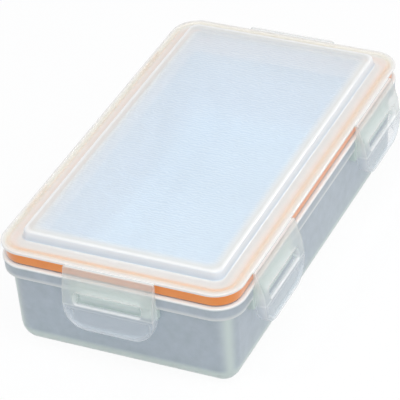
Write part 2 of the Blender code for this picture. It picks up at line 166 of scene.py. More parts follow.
# Fineness of the drawn surfaces
CORNER_STEPS = 20
STRAIGHT_STEPS = 14
FILLET_STEPS = 6
NOSE_STEPS = 12
BAR_EDGE_STEPS = 5
LATCH_CORNER_STEPS = 14
LATCH_LONG_STEPS = 96
LATCH_SHORT_STEPS = 48
LATCH_EDGE_STEPS = 6
LATCH_FACE_STEPS = 46
BARREL_STEPS = 64
LUG_STEPS = 96
PANEL_BORDER_STEPS = 6
LEFT_STEPS = 5

# How far the places between the knuckles spread, as a share of the room there
LEFT_SPREAD = 0.8

# Least angle in degrees at which an edge is drawn sharp, in general and on the latches, whose soft folds are coarser
CREASE = 40.0
LATCH_CREASE = 75.0

# Share of the shorter neighbouring side that an arc may take up, and of a bar's half width that its rounded end may
ARC_SHARE = 0.499
BAR_END_SHARE = 0.9

# Share of a latch's thickness that the rounding of either side may take, and how round its inner side is
LATCH_EDGE_SHARE = 0.45
LATCH_INNER_ROUNDING = 0.5

# Painted highlights on a latch, as pale lines: their half width, how far outside the dish the one on the tab's rim
# lies, and how strongly the painted highlight whitens edges, ridge and rim
LATCH_LINE = 0.3 * MM
LATCH_RIM_LINE_OUT = 0.25 * MM
LATCH_EDGE_SHINE = 0.7
LATCH_RIDGE_SHINE = 0.5
LATCH_RIM_SHINE = 0.35

# How far the thick-looking middle of a corner spreads, as a share of half the corner's turn, and how high the
# thick-looking foot stays full, as a share of its radius
CORNER_SPREAD = 0.42
FOOT_FULL = 0.8

# Where the flange lets the seal show best: inset from its edge on its top and on its underside, how far that
# spreads, and how far apart the points across the flange are that carry it
CLEAR_ON_TOP = 2.1 * MM
CLEAR_BELOW = 4.0 * MM
CLEAR_SPREAD = 0.85 * MM
FLANGE_STEP = 0.4 * MM

# Finishes of the frosted plastic: the two colours of a thin wall, the share of the view that one of its faces hides,
# the share of what it hides that shadows let through all the same, the weights of gloss and pale sheen on top, and a
# colour and cover for each mark, in the order in which they are laid over one another. The edge marks are painted
# highlights: a near-white colour laid along rounded edges
TUB_FINISH = {
    "plain": "bac5cc", "cloud": "d0d9e3", "cover": 0.8, "forward": 0.9, "coat": 0.1, "sheen": 0.0,
    "marks": {
        "thick": ("e2eee9", 0.9),
        "inside": ("cae3f5", 0.9),
        # Painted light: the tub's inner walls are paler than its floor, making up for the less light they get
        "inner_wall_painted_light": ("e4f1fd", 0.9),
        "edge": ("f8faf8", 0.92),
    },
}
LID_FINISH = {
    "plain": "e6e5e0", "cloud": "ecebe7", "cover": 0.78, "forward": 0.95, "coat": 1.0, "sheen": 0.3,
    "marks": {
        "side": ("d2e0ef", 0.8),
        # Painted glow: warm near-white on plug wall and knuckles, for light let in through flange and seal
        "thick": ("fff0e8", 0.94),
        "clear": ("ebe6cf", 0.38),
        "edge": ("ffffff", 0.95),
    },
}
LATCH_FINISH = {
    "plain": "e8f0ed", "cloud": "dfe8e6", "cover": 0.32, "forward": 0.8, "coat": 0.8, "sheen": 1.0,
    "marks": {
        "clear": ("dfe8f0", 0.28),
        "edge": ("ffffff", 0.62),
    },
}

# Lid's embossed panel: cover of each face, colours between and on its lines, how far its pale border fades inwards,
# the pitch of the lines, and how far noise pushes them, in radians
PANEL_COVER = 0.37
PANEL_LOW = "e3eaf2"
PANEL_HIGH = "f2f7fc"
PANEL_BORDER = 3.4 * MM
LINE_PITCH = 1.1 * MM
LINE_WAVER = 14.0

# Plastic: contrast of the cloudiness as factor and offset, height of the mould's grain beside that of the panel's
# lines, and roughness in general and on the tub's inside, which is matt
CLOUD_CONTRAST = (1.6, -0.4)
GRAIN_HEIGHT = 0.04
PLASTIC_ROUGHNESS = 0.33
TUB_INSIDE_ROUGHNESS = 0.85

# Studio: half width of the floor, share of pure white in the floor as the camera sees it, distance of the lamps from
# the origin, and how many clear faces one line of sight may pass
FLOOR_REACH = 3.0
FLOOR_GLOW = 0.88
LAMP_DISTANCE = 1.0
CLEAR_FACES = 32

# Camera, fitted to the straight edges of the photograph: sensor width in millimetres, angles in degrees, distance in
# metres, and picture width, focal length and offset of the picture's centre in pixels
IMAGE = 400.0
SENSOR = 36.0
CAMERA_AZIMUTH = 26.796
CAMERA_ELEVATION = 36.132
CAMERA_ROLL = -4.659
CAMERA_DISTANCE = 0.82173
FOCAL_PIXELS = 2535.8
CENTRE_RIGHT = 13.675
CENTRE_DOWN = 43.149


# Profiles

def rounded(corners, closed, steps=FILLET_STEPS):
    """Path through corners (across, up, radius, shine), each turned into an arc tangent to both of its sides.

    The arc's points are centre + radius * (cos, sin) of evenly spaced angles. Returns the points and the shine of each,
    the strength of the painted highlight, a near-white colour, laid along its edge.
    """
    here = np.array([corner[:2] for corner in corners], float)
    points = []
    shines = []
    for index, (_, _, radius, shine) in enumerate(corners):
        if radius == 0 or (not closed and index in (0, len(corners) - 1)):
            points.append(here[index : index + 1])
            shines.append(np.full(1, shine))
            continue
        before = here[index - 1] - here[index]
        after = here[(index + 1) % len(corners)] - here[index]
        reach = ARC_SHARE * min(np.linalg.norm(before), np.linalg.norm(after))
        before = before / np.linalg.norm(before)
        after = after / np.linalg.norm(after)
        half = math.acos(np.clip(before @ after, -1, 1)) / 2
        tangent = min(radius / math.tan(half), reach)
        fitted = tangent * math.tan(half)
        middle = (before + after) / np.linalg.norm(before + after)
        centre = here[index] + middle * fitted / math.sin(half)
        first = here[index] + before * tangent - centre
        last = here[index] + after * tangent - centre
        start = math.atan2(first[1], first[0])
        turn = (math.atan2(last[1], last[0]) - start + math.pi) % (2 * math.pi) - math.pi
        angle = start + turn * np.linspace(0, 1, steps + 1)
        points.append(centre + fitted * np.stack((np.cos(angle), np.sin(angle)), 1))
        shines.append(np.full(steps + 1, shine))
    return np.concatenate(points), np.concatenate(shines)


def smooth(value, low, high):
    """0 below low, 1 above high and the smooth cubic 3t^2 - 2t^3 between."""
    t = np.clip((value - low) / (high - low), 0, 1)
    return t * t * (3 - 2 * t)


def bell(value, width):
    """Bell curve exp(-(value / width)^2), 1 where value is 0."""
    return np.exp(-((value / width) ** 2))


def wall_inset(height):
    """How far the tub's outer wall stands inside the flange's edge: the draft makes it grow downwards."""
    return WALL_INSET + math.tan(WALL_DRAFT) * (RIM_HEIGHT - height)


# Meshes

def grid_mesh(name, points, wrap_rows, wrap_columns, marks, caps=False):
    """Mesh from a grid of points (rows, columns, 3): one four-sided face between each four neighbours.

    wrap_rows and wrap_columns join the last row or column to the first. caps closes an open run of rows with a flat
    face at each end. marks holds named values for each point, kept as attributes for the materials.
    """
    rows, columns = points.shape[:2]
    number = np.arange(rows * columns).reshape(rows, columns)
    below = number if wrap_rows else number[:-1]
    above = np.roll(number, -1, 0) if wrap_rows else number[1:]
    if wrap_columns:
        faces = np.stack((below, np.roll(below, -1, 1), np.roll(above, -1, 1), above), -1)
    else:
        faces = np.stack((below[:, :-1], below[:, 1:], above[:, 1:], above[:, :-1]), -1)
    faces = faces.reshape(-1, 4).tolist()
    if caps:
        faces.append(number[0][::-1].tolist())
        faces.append(number[-1].tolist())
    mesh = bpy.data.meshes.new(name)
    mesh.from_pydata(points.reshape(-1, 3).tolist(), [], faces)
    for label, values in marks.items():
        attribute = mesh.attributes.new(label, "FLOAT", "POINT")
        flat = np.broadcast_to(values, (rows, columns)).astype(np.float32).ravel()
        attribute.data.foreach_set("value", flat)
    mesh.update()
    if signed_volume(points, mesh) < 0:
        mesh.flip_normals()
    return mesh


def signed_volume(points, mesh):
    """Volume that the faces enclose, negative if they face inwards: a sixth of the sum of a . (b x c) over them."""
    mesh.calc_loop_triangles()
    corners = np.empty(len(mesh.loop_triangles) * 3, np.int32)
    mesh.loop_triangles.foreach_get("vertices", corners)
    a, b, c = np.moveaxis(points.reshape(-1, 3)[corners.reshape(-1, 3)], 1, 0)
    return float((a * np.cross(b, c)).sum()) / 6


def place(name, meshes, material, body, replaced, matrix=None, crease=CREASE):
    """Make one object of one or more meshes, with a body to ride on, a finish, and the solids that it stands for.

    Edges where faces meet at more than crease degrees are drawn sharp.
    """
    joined = bpy.data.objects.new(name, meshes[0])
    bpy.context.scene.collection.objects.link(joined)
    if len(meshes) > 1:
        others = [bpy.data.objects.new(name + "_part", mesh) for mesh in meshes[1:]]
        for other in others:
            bpy.context.scene.collection.objects.link(other)
        with bpy.context.temp_override(active_object=joined, selected_editable_objects=[joined] + others):
            bpy.ops.object.join()
    mesh = joined.data
    mesh.name = name
    if matrix is not None:
        moved(mesh, matrix)
    mesh.materials.clear()
    mesh.materials.append(material)
    mesh.shade_smooth()
    mesh.set_sharp_from_angle(angle=math.radians(crease))
    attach(joined, body)
    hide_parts(*replaced)


# The box's own surfaces

def left_stations():
    """Places along the left side from back to front, with a close pair at each end of a knuckle's room."""
    half = KNUCKLE_WIDTH / 2 + CLEARANCE
    ends = np.array((-SIDE_STATION - half, -SIDE_STATION + half, SIDE_STATION - half, SIDE_STATION + half))
    between = np.linspace(-LEFT_SPREAD, LEFT_SPREAD, LEFT_STEPS) * (SIDE_STATION - half)
    return np.sort(np.concatenate((ends - SEAM, ends + SEAM, between)))[::-1]


def around_box(inset, height):
    """Rounded rectangles of the box's plan, one row for each inset and height.

    Each row runs through four corner arcs, centre + radius * (cos, sin), and four straight sides. Their points crowd
    towards the corners as half of 1 - cos does, apart from the left side's, which stand at its own stations. The
    second result is a bell curve over each corner, 1 at its middle.
    """
    inset = np.asarray(inset, float)[:, None]
    height = np.asarray(height, float)[:, None]
    half_width = FLANGE_WIDTH / 2 - inset
    half_length = FLANGE_LENGTH / 2 - inset
    radius = np.maximum(FLANGE_CORNER - inset, INNER_CORNER)
    signs = ((1, 1), (-1, 1), (-1, -1), (1, -1))
    across = []
    along = []
    corner = []
    for quarter, (side_x, side_y) in enumerate(signs):
        angle = (quarter + np.linspace(0, 1, CORNER_STEPS + 1)) * math.pi / 2
        across.append(side_x * (half_width - radius) + radius * np.cos(angle))
        along.append(side_y * (half_length - radius) + radius * np.sin(angle))
        corner.append(bell(np.linspace(-1, 1, CORNER_STEPS + 1), CORNER_SPREAD))
        if (side_x, side_y) == (-1, 1):
            stations = left_stations()
            across.append(np.broadcast_to(-half_width, (len(half_width), len(stations))))
            along.append(np.broadcast_to(stations, (len(half_width), len(stations))))
            corner.append(np.zeros(len(stations)))
            continue
        share = (1 - np.cos(np.linspace(0, math.pi, STRAIGHT_STEPS + 2)[1:-1])) / 2
        next_x, next_y = signs[(quarter + 1) % 4]
        next_angle = (quarter + 1) * math.pi / 2
        end_x = next_x * (half_width - radius) + radius * math.cos(next_angle)
        end_y = next_y * (half_length - radius) + radius * math.sin(next_angle)
        across.append(across[-1][:, -1:] * (1 - share) + end_x * share)
        along.append(along[-1][:, -1:] * (1 - share) + end_y * share)
        corner.append(np.zeros(STRAIGHT_STEPS))
    across = np.concatenate(across, 1)
    along = np.concatenate(along, 1)
    points = np.stack((across, along, np.broadcast_to(height, across.shape)), -1)
    return points, np.concatenate(corner)[None, :]


def swept_round_box(name, path, closed, marks, thick_corners=None, cut=None):
    """Section (inset, height) carried round the box's plan.

    marks holds values for each point of the section, and thick_corners how thick it looks at the box's corners. cut
    changes the points before the mesh is made.
    """
    points, corner = around_box(path[:, 0], path[:, 1])
    if cut is not None:
        points = cut(points)
    marks = {label: values[:, None] for label, values in marks.items()}
    if thick_corners is not None:
        marks["thick"] = np.maximum(marks["thick"], corner * thick_corners[:, None])
    return grid_mesh(name, points, wrap_rows=closed, wrap_columns=True, marks=marks, caps=not closed)


def knuckle_room_bottom():
    """Height of the ledge under a knuckle."""
    return HINGE_HEIGHT - HINGE_BARREL_RADIUS - CLEARANCE


def with_knuckle_room(points):
    """The tub's points with lip and collar set back on the left, where the lid's knuckles turn."""
    inset = HINGE_BARREL_RADIUS + CLEARANCE - HINGE_OUTSET
    half = KNUCKLE_WIDTH / 2 + CLEARANCE
    face = -FLANGE_WIDTH / 2 + inset
    across, along, up = np.moveaxis(points, -1, 0)
    by_knuckle = (np.abs(np.abs(along) - SIDE_STATION) < half) & (up > knuckle_room_bottom())
    squeezed = face + KNUCKLE_ROOM_SPREAD * (across - face)
    return np.stack((np.where(by_knuckle & (across < face), squeezed, across), along, up), -1)


def ridge_middle():
    """How far the sealing ridge's middle stands inside the flange's edge."""
    return WALL_INSET + WALL_THICKNESS - RIDGE_SET - RIDGE_WIDTH / 2


def tub_mesh():
    """Tub: foot, wall with draft, collar, lip and ridged rim outside, then wall and floor inside."""
    foot = wall_inset(0)
    inner_foot = wall_inset(FLOOR_THICKNESS) + WALL_THICKNESS
    inner_radius = BOTTOM_RADIUS - WALL_THICKNESS
    ridge_outer = ridge_middle() - RIDGE_WIDTH / 2
    ridge_inner = ridge_middle() + RIDGE_WIDTH / 2
    ridge_top = RIM_HEIGHT + RIDGE_HEIGHT
    ledge = knuckle_room_bottom()
    # The fourth number of each corner is the strength of the painted highlight laid along that edge
    path, shine = rounded(
        (
            (foot + 2 * BOTTOM_RADIUS + EDGE_RADIUS, 0, 0, 0),
            (foot, 0, BOTTOM_RADIUS, 0),
            (wall_inset(COLLAR_BOTTOM), COLLAR_BOTTOM, 0, 0),
            (COLLAR_INSET, COLLAR_BOTTOM, EDGE_RADIUS, 0.8),
            (COLLAR_INSET, ledge - SEAM, 0, 0),
            (COLLAR_INSET, ledge + SEAM, 0, 0),
            (COLLAR_INSET, LIP_BOTTOM, 0, 0),
            (0, LIP_BOTTOM, EDGE_RADIUS, 0.1),
            (0, RIM_HEIGHT, EDGE_RADIUS, 1),
            (ridge_outer, RIM_HEIGHT, 0, 0),
            (ridge_outer, ridge_top, RIDGE_WIDTH / 2, 0.5),
            (ridge_inner, ridge_top, RIDGE_WIDTH / 2, 0.5),
            (ridge_inner, RIM_HEIGHT, 0, 0),
            (WALL_INSET + WALL_THICKNESS, RIM_HEIGHT, EDGE_RADIUS, 0.5),
            (inner_foot, FLOOR_THICKNESS, inner_radius, 0),
            (inner_foot + 2 * inner_radius + EDGE_RADIUS, FLOOR_THICKNESS, 0, 0),
        ),
        closed=False,
    )
    inner = np.arange(len(path)) > np.argmax(path[:, 1])
    # Painted light: the inner walls turn paler than the floor from the foot of their rounding upwards
    wall_painted_light = smooth(path[:, 1], FLOOR_THICKNESS, FLOOR_THICKNESS + inner_radius)
    marks = {
        "edge": shine,
        "thick": np.where(inner, 0.0, 1 - smooth(path[:, 1], FOOT_FULL * BOTTOM_RADIUS, BOTTOM_RADIUS)),
        "inside": np.where(inner, 1.0, 0.0),
        "inner_wall_painted_light": np.where(inner, wall_painted_light, 0.0),
    }
    thick_corners = np.where(inner | (path[:, 1] > COLLAR_BOTTOM + SEAM), 0.0, 1.0)
    return swept_round_box("tub", path, False, marks, thick_corners, cut=with_knuckle_room)


def plug_inset():
    """How far the plug's outer face stands inside the flange's edge: clear of the seal and of the tub's wall."""
    inside_seal = SEAL_INSET + SEAL_WIDTH
    inside_wall = wall_inset(PLUG_BOTTOM) + WALL_THICKNESS
    return max(inside_seal, inside_wall) + CLEARANCE


def lid_mesh():
    """Lid: raised panel, flange, plug wall and the hollow under the panel."""
    lean = math.tan(PANEL_DRAFT)
    plug_outer = plug_inset()
    plug_inner = plug_outer + PLUG_THICKNESS
    hollow = max(PANEL_INSET + LID_WALL, plug_inner + CLEARANCE)
    under = PANEL_TOP - LID_WALL
    top_inset = PANEL_INSET + lean * PANEL_RISE
    across_flange = np.arange(2 * EDGE_RADIUS, plug_outer, FLANGE_STEP)
    border = top_inset + 2 * PANEL_EDGE + np.linspace(0, PANEL_BORDER, PANEL_BORDER_STEPS)
    # The fourth number of each corner is the strength of the painted highlight laid along that edge
    path, shine = rounded(
        (
            *((inset, PANEL_TOP, 0, 0) for inset in border[::-1]),
            (top_inset, PANEL_TOP, PANEL_EDGE, 0.7),
            (PANEL_INSET, FLANGE_TOP, EDGE_RADIUS, 0.1),
            *((inset, FLANGE_TOP, 0, 0) for inset in across_flange[::-1]),
            (0, FLANGE_TOP, EDGE_RADIUS, 0.3),
            (0, FLANGE_BOTTOM, EDGE_RADIUS, 0.9),
            *((inset, FLANGE_BOTTOM, 0, 0) for inset in across_flange),
            (plug_outer, FLANGE_BOTTOM, 0, 0),
            (plug_outer, PLUG_BOTTOM, EDGE_RADIUS, 0.5),
            (plug_inner, PLUG_BOTTOM, EDGE_RADIUS, 0.5),
            (plug_inner, FLANGE_BOTTOM, 0, 0),
            (hollow, FLANGE_BOTTOM, 0, 0),
            (hollow + lean * (under - FLANGE_BOTTOM), under, 0, 0),
            (border[1], under, 0, 0),
            (border[-1], under, 0, 0),
        ),
        closed=False,
    )
    on_plug = (path[:, 0] > plug_outer - SEAM) & (path[:, 0] < plug_inner + SEAM)
    # The plug wall carries the thick mark, whose warm near-white on the lid is a painted glow
    plug = np.where(on_plug & (path[:, 1] < FLANGE_BOTTOM + SEAM), 1.0, 0.0)
    clearest = np.where(path[:, 1] > (FLANGE_TOP + FLANGE_BOTTOM) / 2, CLEAR_ON_TOP, CLEAR_BELOW)
    clear = bell(path[:, 0] - clearest, CLEAR_SPREAD)
    panel = smooth(path[:, 0], border[0], border[-1]) * (path[:, 1] > FLANGE_TOP)
    outer = path[:, 0] < PANEL_INSET + lean * (path[:, 1] - FLANGE_TOP) + LID_WALL / 2
    side = smooth(path[:, 1], FLANGE_TOP, FLANGE_TOP + EDGE_RADIUS / 2) * outer
    side = side * (1 - smooth(path[:, 1], PANEL_TOP - PANEL_EDGE / 2, PANEL_TOP - PANEL_EDGE / 4))
    marks = {"edge": shine, "thick": plug, "clear": clear, "panel": panel, "side": side}
    return swept_round_box("lid", path, False, marks)


def seal_mesh():
    """Seal: a rounded section all the way round, with a groove over the rim's ridge."""
    inner = SEAL_INSET + SEAL_WIDTH
    reach = RIDGE_WIDTH / 2 + GROOVE_PLAY
    groove_outer = ridge_middle() - reach
    groove_inner = ridge_middle() + reach
    groove_top = RIM_HEIGHT + RIDGE_HEIGHT + CLEARANCE
    path, shine = rounded(
        (
            (SEAL_INSET, SEAL_BOTTOM, SEAL_EDGE, 0),
            (SEAL_INSET, SEAL_TOP, SEAL_EDGE, 0),
            (inner, SEAL_TOP, SEAL_EDGE, 0),
            (inner, SEAL_BOTTOM, SEAL_EDGE, 0),
            (groove_inner, SEAL_BOTTOM, 0, 0),
            (groove_inner, groove_top, GROOVE_PLAY, 0),
            (groove_outer, groove_top, GROOVE_PLAY, 0),
            (groove_outer, SEAL_BOTTOM, 0, 0),
        ),
        closed=True,
    )
    return swept_round_box("seal", path, True, {"edge": shine})


# Places on the sides

def side_matrix(side, station=0.0):
    """Matrix from a side's own axes (out of the box, along the side, up) to the box's axes."""
    reach = FLANGE_WIDTH / 2 if side in ("right", "left") else FLANGE_LENGTH / 2
    offset = -station if side == "left" else station
    cosine, sine = {"right": (1, 0), "back": (0, 1), "left": (-1, 0), "front": (0, -1)}[side]
    turn = np.array(((cosine, -sine, 0, 0), (sine, cosine, 0, 0), (0, 0, 1, 0), (0, 0, 0, 1)), float)
    shift = np.eye(4)
    shift[:3, 3] = (reach, offset, 0)
    return turn @ shift


def bar_mesh(name, path, start, end, marks, edge=EDGE_RADIUS):
    """Closed path (out, up) carried along a side from start to end, with rounded ends.

    Near each end the path is smaller by edge * (1 - sin) where it has advanced by edge * (1 - cos).
    """
    middle = (path.min(0) + path.max(0)) / 2
    reach = np.abs(path - middle).max(0)
    quarter = np.linspace(0, math.pi / 2, BAR_EDGE_STEPS)
    advance = edge * (1 - np.cos(quarter))
    inward = edge * (1 - np.sin(quarter))
    station = np.concatenate((start + advance, end - advance[::-1]))
    shrink = np.concatenate((inward, inward[::-1]))
    scale = 1 - np.minimum(shrink[:, None] / reach[None, :], BAR_END_SHARE)
    rings = middle + (path - middle)[None] * scale[:, None, :]
    points = np.stack((rings[..., 0], np.broadcast_to(station[:, None], rings.shape[:2]), rings[..., 1]), -1)
    return grid_mesh(name, points, wrap_rows=False, wrap_columns=True, marks=marks, caps=True)


def moved(mesh, matrix):
    """Move a mesh's points by a matrix and give the mesh back."""
    flat = np.empty(len(mesh.vertices) * 3, np.float32)
    mesh.vertices.foreach_get("co", flat)
    shifted = flat.reshape(-1, 3) @ matrix[:3, :3].T + matrix[:3, 3]
    mesh.vertices.foreach_set("co", shifted.astype(np.float32).ravel())
    mesh.update()
    return mesh


def block_mesh():
    """Catch block under the lip: it hugs the wall and the collar and stands nearly flush with the lip."""
    bottom = COLLAR_BOTTOM - BLOCK_DROP
    path, _ = rounded(
        (
            (-wall_inset(bottom) + SEAM, bottom, 0, 0),
            (-BLOCK_INSET, bottom, EDGE_RADIUS, 0),
            (-BLOCK_INSET, LIP_BOTTOM - SEAM, 0, 0),
            (-COLLAR_INSET + SEAM, LIP_BOTTOM - SEAM, 0, 0),
            (-COLLAR_INSET + SEAM, COLLAR_BOTTOM - SEAM, 0, 0),
            (-wall_inset(COLLAR_BOTTOM) + SEAM, COLLAR_BOTTOM - SEAM, 0, 0),
        ),
        closed=True,
    )
    return bar_mesh("block", path, -BLOCK_WIDTH / 2, BLOCK_WIDTH / 2, marks={"thick": 1.0})


def nib_mesh():
    """Nib that stands in a latch's slot: flat below, sloped above."""
    slot_top = LATCH_AXIS_HEIGHT - SLOT_DROP
    top = slot_top - NIB_PLAY_ABOVE
    bottom = slot_top - SLOT_HEIGHT + NIB_PLAY_BELOW
    root = -BLOCK_INSET + SEAM
    path, _ = rounded(
        (
            (root, bottom, 0, 0),
            (NIB_PROUD, bottom, EDGE_RADIUS, 0),
            (NIB_PROUD, top - NIB_SLOPE, EDGE_RADIUS, 0),
            (NIB_PROUD - NIB_SLOPE, top, EDGE_RADIUS, 0),
            (root, top, 0, 0),
        ),
        closed=True,
    )
    return bar_mesh("nib", path, -NIB_WIDTH / 2, NIB_WIDTH / 2, marks={"thick": 0.75})


# Latches

def latch_front_height(up):
    """How far a latch's face stands out at a height: root, spreading strap, round shoulder, ridge and tab."""
    shoulder = LATCH_SHOULDER_PROUD - LATCH_AXIS_OUTSET
    ridge = LATCH_RIDGE_PROUD - LATCH_AXIS_OUTSET
    path, _ = rounded(
        (
            (0, LATCH_ROOT / 2, 0, 0),
            (LATCH_ROOT / 2, LATCH_ROOT / 2, LATCH_ROOT / 2, 0),
            (shoulder, -LATCH_SHOULDER_DROP, LATCH_SHOULDER_RADIUS, 0),
            (ridge, -LATCH_RIDGE_DROP, EDGE_RADIUS, 0),
            (ridge, -LATCH_LENGTH - MM, 0, 0),
        ),
        closed=False,
        steps=NOSE_STEPS,
    )
    return np.interp(-up, -path[:, 1], path[:, 0])


def latch_outline(half, top, bottom, top_corner, bottom_corner):
    """Rounded rectangle (across, up) of a latch's front view, from its corner of largest across and up over the top.

    Each side and each arc has its own fixed number of points, so that two such outlines match point for point.
    """
    corners = (
        (half, top, top_corner, 0),
        (-half, top, top_corner, 1),
        (-half, bottom, bottom_corner, 2),
        (half, bottom, bottom_corner, 3),
    )
    pieces = []
    for index, (x, y, radius, quarter) in enumerate(corners):
        side_x = math.copysign(1, x)
        side_y = 1 if index < 2 else -1
        angle = (quarter + np.linspace(0, 1, LATCH_CORNER_STEPS + 1)) * math.pi / 2
        centre = np.array((x - side_x * radius, y - side_y * radius))
        pieces.append(centre + radius * np.stack((np.cos(angle), np.sin(angle)), 1))
    rows = []
    for index, piece in enumerate(pieces):
        rows.append(piece)
        count = LATCH_LONG_STEPS if index % 2 == 0 else LATCH_SHORT_STEPS
        share = np.linspace(0, 1, count + 2)[1:-1, None]
        following = pieces[(index + 1) % 4]
        rows.append(piece[-1] * (1 - share) + following[0] * share)
    return np.concatenate(rows)


def dish_depth(across, up):
    """Depth of the tab's finger dish, and how far a place lies outside the dish's rounded outline.

    The depth is full inside the outline and falls to 0 over its sloped edge.
    """
    half = LATCH_WIDTH / 2 - TAB_RIM
    top = -LATCH_RIDGE_DROP - TAB_RIM
    bottom = -LATCH_LENGTH + TAB_RIM
    middle = (top + bottom) / 2
    radius = np.where(up < middle, TAB_CORNER - TAB_RIM, TAB_TOP_CORNER)
    beyond_x = np.abs(across) - half + radius
    beyond_y = np.abs(up - middle) - (top - bottom) / 2 + radius
    outside = np.hypot(np.maximum(beyond_x, 0), np.maximum(beyond_y, 0))
    distance = outside + np.minimum(np.maximum(beyond_x, beyond_y), 0) - radius
    return TAB_DISH_DEPTH * smooth(-distance, *TAB_DISH_SLOPE), distance


def latch_back_height(across, up, face):
    """How far a latch's inner side stands out: flat ribs, a pocket behind the strap and a channel behind the tab."""
    inner = -LATCH_ROOT / 2
    slope = (-POCKET_SLOPE, POCKET_SLOPE)
    in_pocket = smooth(SLOT_WIDTH / 2 - np.abs(across), *slope)
    in_pocket = in_pocket * smooth(up + SLOT_DROP + CLEARANCE, *slope)
    pocket = np.maximum(face - LATCH_WALL, inner)
    slot_bottom = -SLOT_DROP - SLOT_HEIGHT
    in_channel = smooth(CHANNEL_WIDTH / 2 - np.abs(across), *slope)
    in_channel = in_channel * smooth(slot_bottom + CLEARANCE - up, *slope)
    channel = NIB_PROUD + CLEARANCE - LATCH_AXIS_OUTSET
    back = inner + in_pocket * (pocket - inner)
    return back + in_channel * (channel - back)


def latch_mesh():
    """Latch as one closed surface round its slot.

    Rows run round the slot and columns run from the slot's edge out to the latch's outline over the face, then back
    over the inner side. A point is (1 - t) * slot outline + t * latch outline in the front view. Its height is
    that of the face or of the inner side there, lowered near both outlines by a quarter circle to round the edges.
    """
    slot = latch_outline(SLOT_WIDTH / 2, -SLOT_DROP, -SLOT_DROP - SLOT_HEIGHT, SLOT_CORNER, SLOT_CORNER)
    outer = latch_outline(LATCH_WIDTH / 2, LATCH_ROOT / 2, -LATCH_LENGTH, LATCH_EDGE, TAB_CORNER)
    span = np.linalg.norm(outer - slot, axis=1)[:, None]
    quarter = np.linspace(0, math.pi / 2, LATCH_EDGE_STEPS)[None, :]
    rising = LATCH_EDGE * (1 - np.cos(quarter))
    falling = LATCH_EDGE * (1 - np.sin(quarter))
    by_slot = rising / span
    by_outline = 1 - falling / span
    low = by_slot[:, -1:]
    high = by_outline[:, :1]
    inside = np.linspace(0, 1, LATCH_FACE_STEPS)[None, 1:-1]
    share = np.concatenate((by_slot, low + (high - low) * inside, by_outline), 1)
    drop = np.concatenate((falling, np.zeros((1, inside.shape[1])), rising), 1)
    drop = np.broadcast_to(drop, share.shape)
    plan = slot[:, None, :] * (1 - share[..., None]) + outer[:, None, :] * share[..., None]
    across, up = plan[..., 0], plan[..., 1]
    face = latch_front_height(up)
    dish, distance = dish_depth(across, up)
    front = face - dish
    back = latch_back_height(across, up, face)
    room = (front - back) * LATCH_EDGE_SHARE
    front = front - np.minimum(drop, room)
    back = back + np.minimum(drop * LATCH_INNER_ROUNDING, room)
    # Painted highlights: pale lines on the tab's rim, along the ridge and on the rounded edges
    rim = bell(distance - LATCH_RIM_LINE_OUT, LATCH_LINE) * (up < -LATCH_RIDGE_DROP)
    ridge = bell(up + LATCH_RIDGE_DROP, LATCH_LINE)
    edge = LATCH_EDGE_SHINE * smooth(drop, 0, LATCH_EDGE / 2)
    edge = np.clip(edge + LATCH_RIDGE_SHINE * ridge + LATCH_RIM_SHINE * rim, 0, 1)
    outward = np.stack((front, across, up), -1)
    inward = np.stack((back, across, up), -1)[:, ::-1]
    points = np.concatenate((outward, inward), 1)
    tab = smooth(up, -LATCH_RIDGE_DROP, -LATCH_RIDGE_DROP - TAB_EDGE)
    marks = {
        "edge": np.concatenate((edge, np.zeros_like(edge)), 1),
        "clear": np.concatenate((tab, tab[:, ::-1]), 1),
    }
    return grid_mesh("latch", points, wrap_rows=True, wrap_columns=True, marks=marks)


def web_mesh():
    """Thin web that joins a latch's round root to the flange's edge, and on which it bends."""
    low = LATCH_AXIS_HEIGHT - LATCH_WEB / 2
    high = LATCH_AXIS_HEIGHT + LATCH_WEB / 2
    path = np.array(((-SEAM, low), (CLEARANCE + SEAM, low), (CLEARANCE + SEAM, high), (-SEAM, high)))
    half = LATCH_WIDTH / 2 - LATCH_EDGE
    return bar_mesh("web", path, -half, half, marks={"edge": 0.6}, edge=SEAM)


def latch_sites():
    """Name and side matrix of each latch."""
    return (
        ("latch_front", side_matrix("front")),
        ("latch_back", side_matrix("back")),
        ("latch_right_front", side_matrix("right", -SIDE_STATION)),
        ("latch_right_rear", side_matrix("right", SIDE_STATION)),
    )


# Hinges

def hinge_sites():
    """Side matrix of each hinge."""
    return (side_matrix("left", -SIDE_STATION), side_matrix("left", SIDE_STATION))


def bored_bar_mesh(name, path, start, end):
    """Closed path (out, up) carried along a side, with a round bore on the hinge's axis.

    Rows run round the path and, point for point, round the bore at the same angle. Columns run over the outside, one
    end, the bore and the other end.
    """
    axis = np.array((HINGE_OUTSET, HINGE_HEIGHT))
    offset = path - axis
    bore = axis + offset / np.linalg.norm(offset, axis=1)[:, None] * (PIN_RADIUS + CLEARANCE)
    shy = axis + offset * (1 - HINGE_CHAMFER / np.linalg.norm(offset, axis=1))[:, None]
    loops = (
        (shy, start),
        (path, start + HINGE_CHAMFER),
        (path, end - HINGE_CHAMFER),
        (shy, end),
        (bore, end),
        (bore, start),
    )
    points = np.stack(
        [np.stack((loop[:, 0], np.full(len(loop), station), loop[:, 1]), -1) for loop, station in loops], 1
    )
    return grid_mesh(name, points, wrap_rows=True, wrap_columns=True, marks={"edge": 0.5, "thick": 1.0})


def even_path(path, count):
    """The same closed path with its points evenly spaced by length."""
    closed = np.vstack((path, path[:1]))
    length = np.concatenate(((0,), np.cumsum(np.linalg.norm(np.diff(closed, axis=0), axis=1))))
    wanted = np.linspace(0, length[-1], count, endpoint=False)
    return np.stack((np.interp(wanted, length, closed[:, 0]), np.interp(wanted, length, closed[:, 1])), 1)


